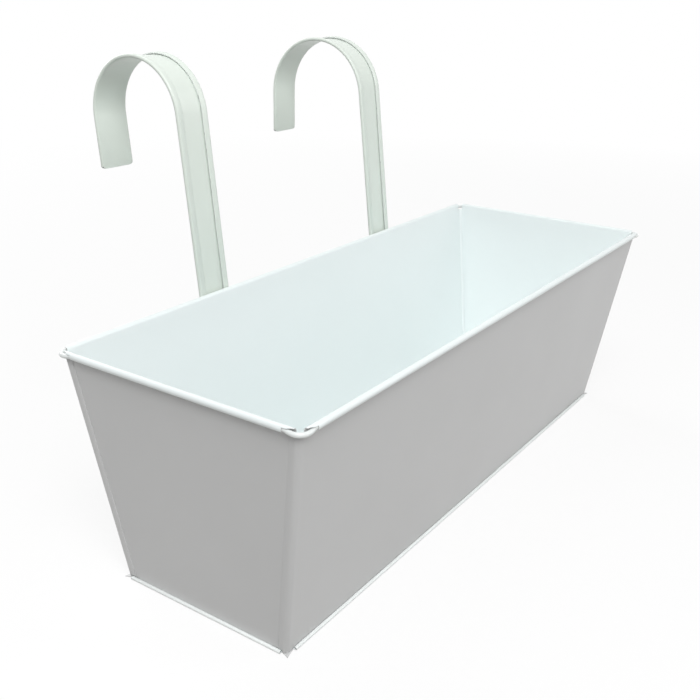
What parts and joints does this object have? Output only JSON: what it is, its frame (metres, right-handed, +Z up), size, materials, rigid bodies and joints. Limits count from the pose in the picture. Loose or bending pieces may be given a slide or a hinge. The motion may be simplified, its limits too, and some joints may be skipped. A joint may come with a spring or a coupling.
{
  "type": "hanging rail planter",
  "caption": "Tapered rectangular sheet-steel planter with a wired rim and folded base seam, hung over a rail by sliding hemmed strap hooks.",
  "frame": {"origin": "middle of the floor's underside, where the planter stands", "axes": "+X along the trough, +Y to the back where the hooks are, +Z up"},
  "size_m": [0.4, 0.2376, 0.2578],
  "materials": {
    "trough_paint": "semi-gloss enamel",
    "wire_paint": "semi-gloss enamel",
    "hook_paint": "semi-gloss enamel"
  },
  "bodies": {
    "planter": {"front_panel": "trough_paint", "back_panel": "trough_paint", "left_end_panel": "trough_paint", "right_end_panel": "trough_paint", "base_pan": "trough_paint", "rim_wire": "wire_paint", "left_hook_sleeve": "trough_paint", "right_hook_sleeve": "trough_paint"},
    "left_hook": {"left_hook": "hook_paint"},
    "right_hook": {"right_hook": "hook_paint"}
  },
  "joints": [
    {"name": "left_hook_slide", "type": "slide", "parent": "planter", "child": "left_hook", "axis": [0, 0.1118, 0.9937], "range_m": [-0.085, 0]},
    {"name": "right_hook_slide", "type": "slide", "parent": "planter", "child": "right_hook", "axis": [0, 0.1118, 0.9937], "range_m": [-0.085, 0]}
  ]
}
